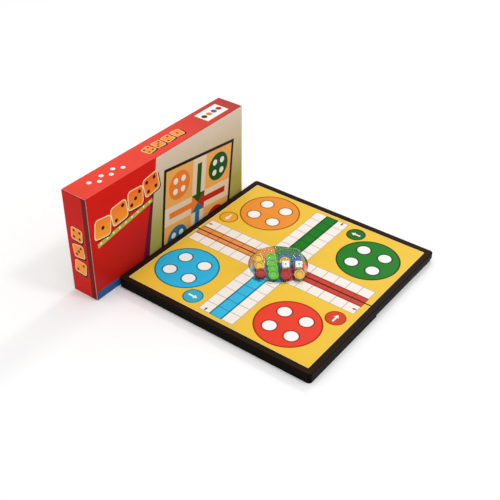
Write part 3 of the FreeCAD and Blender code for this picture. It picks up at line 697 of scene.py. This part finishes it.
def counterMesh(name, place):
    p = counterShape
    radius, half, edge = p["radius"], p["height"] / 2, p["edge"]
    rim = [math.pi / 2 * step / 4 for step in range(5)]
    inner = radius - edge - p["ring"]
    profile = [(0, half - p["dish"]), (inner - p["dish"], half - p["dish"]), (inner, half)]
    profile += [(radius - edge + edge * math.sin(turn), half - edge + edge * math.cos(turn)) for turn in rim]
    profile += [(radius - edge + edge * math.cos(turn), -half + edge - edge * math.sin(turn)) for turn in rim]
    shape = bmesh.new()
    corners = [shape.verts.new((x * mm, 0, z * mm)) for x, z in profile]
    for first, second in zip(corners, corners[1:]):
        shape.edges.new((first, second))
    bmesh.ops.spin(shape, geom=list(shape.verts) + list(shape.edges), axis=(0, 0, 1), cent=(0, 0, 0),
                   angle=2 * math.pi, steps=p["sides"], use_merge=True)
    bmesh.ops.remove_doubles(shape, verts=list(shape.verts), dist=0.001 * mm)
    # The underside is filled in round the square seat, whose walls rise to its ceiling
    foot = [side for side in shape.edges if side.is_boundary]
    seat = p["seat"] / 2 * mm
    mouth, ceiling = [[shape.verts.new((x * seat, y * seat, level * mm)) for x, y in fourCorners]
                      for level in (-half, p["seatDepth"] - half)]
    foot += [shape.edges.new((mouth[turn - 1], mouth[turn])) for turn in range(4)]
    bmesh.ops.triangle_fill(shape, edges=foot, use_beauty=True)
    for turn in range(4):
        shape.faces.new((mouth[turn - 1], mouth[turn], ceiling[turn], ceiling[turn - 1]))
    shape.faces.new(ceiling)
    bmesh.ops.recalc_face_normals(shape, faces=list(shape.faces))
    # The rounded rim and the step into the dish take the darker copy of the plastic: painted shade that
    # outlines each counter
    for face in shape.faces:
        centre = face.calc_center_median() / mm
        reach = centre.xy.length
        stepped = centre.z > 0 and inner - p["dish"] < reach < inner
        face.material_index = int(stepped or reach > radius - edge)
    bmesh.ops.transform(shape, matrix=place, verts=list(shape.verts))
    return meshOf(name, shape, smooth=True)


def counters():
    for colour, hexColour in counterColours.items():
        # The second plastic is a darker copy of the first, for the painted shade at the rim and the dish's
        # step
        plastics = [polystyrene("mouldedPolystyrene_" + colour, linear(hexColour)),
                    polystyrene("mouldedPolystyreneRimShade_" + colour, shade(hexColour, counterShape["rimShadeTone"]))]
        for count in range(1, 5):
            node = f"{colour}_counter_{count}"
            name = f"{colour}Counter{count}"
            mesh = counterMesh(name, discFrame(node))
            piece = addPiece(name, mesh, plastics, "bag", [node])
            split = piece.modifiers.new("sharpSeat", "EDGE_SPLIT")
            split.split_angle = math.radians(counterShape["sharpAngle"])


counters()
print("counters moulded")

dieShape = {"side": 10.0, "edge": 1.3, "pip": 1.0, "pipPitch": 2.6, "pipDepth": 0.3, "pipProud": 0.01}
playerRight = Vector((0.8, 0.6, 0.0))


def dieFrame(node):
    # The die's own axes: its three broad pairs of faces, sorted by where the player sees them
    mesh = nodes[node].data
    spread = {}
    for face in mesh.polygons:
        key = tuple(round(part, 2) for part in face.normal)
        spread[key] = spread.get(key, 0.0) + face.area
    broad = [Vector(side).normalized() for side in sorted(spread, key=spread.get)[-6:]]
    up = max(broad, key=lambda side: side.z)
    right = max(broad, key=lambda side: side.dot(playerRight))
    points = np.array([corner.co for corner in mesh.vertices])
    middle = Vector((points.min(0) + points.max(0)) / 2)
    turn = Matrix((right, up.cross(right), up)).transposed().to_4x4()
    return Matrix.Translation(middle) @ turn


def dieMesh(name, place):
    p = dieShape
    half = p["side"] / 2 * mm
    shape = bmesh.new()
    bmesh.ops.create_cube(shape, size=p["side"] * mm)
    bmesh.ops.bevel(shape, geom=list(shape.edges), offset=p["edge"] * mm, segments=4, profile=0.5,
                    affect="EDGES")
    # Each side by its count: the axis and the quarter turns that bring it to the top
    sides = {1: ("X", 0), 6: ("X", 2), 2: ("X", 1), 5: ("X", -1), 3: ("Y", 1), 4: ("Y", -1)}
    radius, depth, pitch = p["pip"] * mm, p["pipDepth"] * mm, p["pipPitch"] * mm
    rise = half - depth / 2 + p["pipProud"] * mm
    for count, (axis, quarters) in sides.items():
        turn = Matrix.Rotation(quarters * math.pi / 2, 4, axis)
        for x, y in pipPlaces[count]:
            seat = Matrix.Translation((x * pitch, y * pitch, rise))
            pip = bmesh.ops.create_cone(shape, cap_ends=True, segments=20, radius1=radius, radius2=radius,
                                        depth=depth, matrix=turn @ seat)
            for face in {face for corner in pip["verts"] for face in corner.link_faces}:
                face.material_index = 1
    bmesh.ops.transform(shape, matrix=place, verts=list(shape.verts))
    return meshOf(name, shape)


ivory = polystyrene("mouldedPolystyrene_die", "#F1EEE6")
pipInk = polystyrene("pipInk_black", "#161412")
for count in (1, 2):
    name, node = f"die{count}", f"die_{count}"
    addPiece(name, dieMesh(name, dieFrame(node)), [ivory, pipInk], "bag", [node])
print("dice moulded")


# The clear bag round them: it lies a hair over the print, and its two layers are welded at the seal

bagFilm = {
    "turn": 36.8, "length": 81.2, "width": 64.0, "clear": 0.35, "gauge": 0.08, "roundness": 0.68,
    "lay": 0.1, "weld": 0.12, "swell": 11.0, "across": 120, "along": 104, "settle": 14,
    "crease": 2.2, "creaseLength": 18.0, "creaseWidth": 5.0, "creaseFade": 6.0, "creaseSeeds": (3.7, 9.1),
}


def bagFrame():
    low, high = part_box("counter_bag")
    middle = (low + high) / 2
    turn = Matrix.Rotation(math.radians(bagFilm["turn"]), 4, "Z")
    return Matrix.Translation((middle.x, middle.y, low.z)) @ turn


def surfaceTree(names):
    corners, faces = [], []
    for name in names:
        mesh = nodes[name].data
        first = len(corners)
        corners += [corner.co.copy() for corner in mesh.vertices]
        faces += [[first + index for index in face.vertices] for face in mesh.polygons]
    return BVHTree.FromPolygons(corners, faces)


def heightsOver(names, place, flat):
    tree = surfaceTree(names)
    found = np.zeros(flat.shape[:2])
    for row, column in np.ndindex(*found.shape):
        spot = place @ Vector((*flat[row, column], 0))
        hit = tree.ray_cast(Vector((spot.x, spot.y, cadHigh.z)), Vector((0, 0, -1)))[0]
        if hit is not None:
            found[row, column] = hit.z - place.translation.z
    return found


def filmHeights(place, flat, edgeDistance):
    # Blown up to the modelled bag's form, round at its seal, and held off the heap inside
    p = bagFilm
    packed = frame["record"]["behaviour"]["bodies"]["bag"]
    held = heightsOver([name for name in packed if "_counter_" in name or "die_" in name], place, flat)
    held[held > 0] += p["clear"] * mm
    blown = heightsOver(["counter_bag"], place, flat)
    near = np.clip(edgeDistance / p["swell"], 0, 1)
    heights = blown * np.sqrt(1 - (1 - near) ** 2)
    for _ in range(p["settle"]):
        around = heights.copy()
        around[1:-1, 1:-1] = (heights[:-2, 1:-1] + heights[2:, 1:-1]
                              + heights[1:-1, :-2] + heights[1:-1, 2:]) / 4
        heights = np.maximum(held, around)
        heights[edgeDistance <= 0] = 0
    return heights, held


def counterBag():
    p = bagFilm
    place = bagFrame()
    u, v = np.meshgrid(np.linspace(-1, 1, p["across"]), np.linspace(-1, 1, p["along"]), indexing="ij")
    flat = np.stack([u * np.sqrt(1 - p["roundness"] * v * v / 2) * p["length"] / 2 * mm,
                     v * np.sqrt(1 - p["roundness"] * u * u / 2) * p["width"] / 2 * mm], axis=2)
    edgeDistance = np.minimum((1 - np.abs(u)) * p["length"] / 2, (1 - np.abs(v)) * p["width"] / 2)
    heights, held = filmHeights(place, flat, edgeDistance)
    lay, long, narrow = p["lay"] * mm, p["creaseLength"] * mm, p["creaseWidth"] * mm
    foldSeed, crossSeed = p["creaseSeeds"]
    shape = bmesh.new()
    layers = []
    for level in (1, 0):
        layer = []
        for row, column in np.ndindex(*heights.shape):
            x, y = flat[row, column]
            z = heights[row, column] * level
            if level and edgeDistance[row, column] > 0:
                fold = noise.noise((x / long, y / narrow, foldSeed))
                cross = noise.noise((x / narrow, y / long, crossSeed))
                share = min(1, edgeDistance[row, column] / p["creaseFade"])
                z = max(held[row, column], z - p["crease"] * mm * (abs(fold) + abs(cross)) * share, lay)
            layer.append(shape.verts.new(place @ Vector((x, y, z + lay))))
        layers.append(layer)
    for layer, flip in zip(layers, (False, True)):
        for row in range(p["across"] - 1):
            for column in range(p["along"] - 1):
                at = row * p["along"] + column
                ring = [layer[at], layer[at + p["along"]], layer[at + p["along"] + 1], layer[at + 1]]
                shape.faces.new(ring[::-1] if flip else ring)
    bmesh.ops.remove_doubles(shape, verts=list(shape.verts), dist=p["weld"] * mm)
    bmesh.ops.recalc_face_normals(shape, faces=list(shape.faces))
    mesh = meshOf("counterBagFilm", shape, smooth=True)
    clear = blownFilm("blownPolyethyleneFilm")
    film = addPiece("counterBagFilm", mesh, [clear], "bag", ["counter_bag"])
    wall = film.modifiers.new("filmGauge", "SOLIDIFY")
    wall.thickness = p["gauge"] * mm
    wall.offset = -1
    # Film this thin throws no shadow worth seeing
    film.visible_shadow = False


counterBag()
print("bag drawn")


# Floor, light and camera

# The air is nearly as bright as the far floor, so that no horizon shows in low views
studio = {
    "floor": 40000.0, "floorDrop": 0.2, "world": 0.84,
    "fill": {"from": (0.55, -0.35, 0.9), "strength": 0.08, "spread": 70.0},
    "softbox": {"seats": ((750.0, 150.0, 1700.0), (-250.0, 1250.0, 1250.0)), "size": 240.0, "power": 5.2},
}
# The camera's seat and aim are measured from the middle of the print's face
view = {"seat": (571.6, -836.6, 772.6), "aim": (-54.0, 2.5, 0.0), "roll": 0.41, "lens": 64.87, "sensor": 36.0}


def stage():
    half, drop = studio["floor"] / 2 * mm, studio["floorDrop"] * mm
    shape = bmesh.new()
    shape.faces.new([shape.verts.new((x, y, -drop)) for x, y in block(-half, -half, half, half)])
    mesh = meshOf("floor", shape)
    mesh.materials.append(studioPaper("whitePaperRoll"))
    floor = bpy.data.objects.new("floor", mesh)
    scene.collection.objects.link(floor)
    world = bpy.data.worlds.new("studioAir")
    world.use_nodes = True
    air = world.node_tree.nodes["Background"]
    air.inputs["Color"].default_value = (1.0, 1.0, 1.0, 1.0)
    air.inputs["Strength"].default_value = studio["world"]
    scene.world = world
    fill = bpy.data.lights.new("fill", "SUN")
    fill.energy = studio["fill"]["strength"]
    fill.angle = math.radians(studio["fill"]["spread"])
    softbox = bpy.data.lights.new("softbox", "AREA")
    softbox.size = studio["softbox"]["size"] * mm
    softbox.energy = studio["softbox"]["power"]
    lamps = [(fill, Vector(studio["fill"]["from"]))]
    lamps += [(softbox, Vector(seat) * mm) for seat in studio["softbox"]["seats"]]
    for lamp, seat in lamps:
        holder = bpy.data.objects.new(lamp.name, lamp)
        holder.location = seat
        holder.rotation_euler = (-seat).to_track_quat("-Z", "Y").to_euler()
        scene.collection.objects.link(holder)


def camera():
    lens = bpy.data.cameras.new("camera")
    lens.lens = view["lens"]
    lens.sensor_width = view["sensor"]
    holder = bpy.data.objects.new("camera", lens)
    seat, aim = Vector(view["seat"]) * mm, Vector(view["aim"]) * mm
    level = (aim - seat).to_track_quat("-Z", "Y").to_matrix().to_4x4()
    holder.matrix_world = Matrix.Translation(boardMiddle + seat) @ level @ Matrix.Rotation(
        math.radians(view["roll"]), 4, "Z")
    scene.collection.objects.link(holder)
    scene.camera = holder


stage()
camera()
scene.view_settings.view_transform = "Standard"
print("stage set")
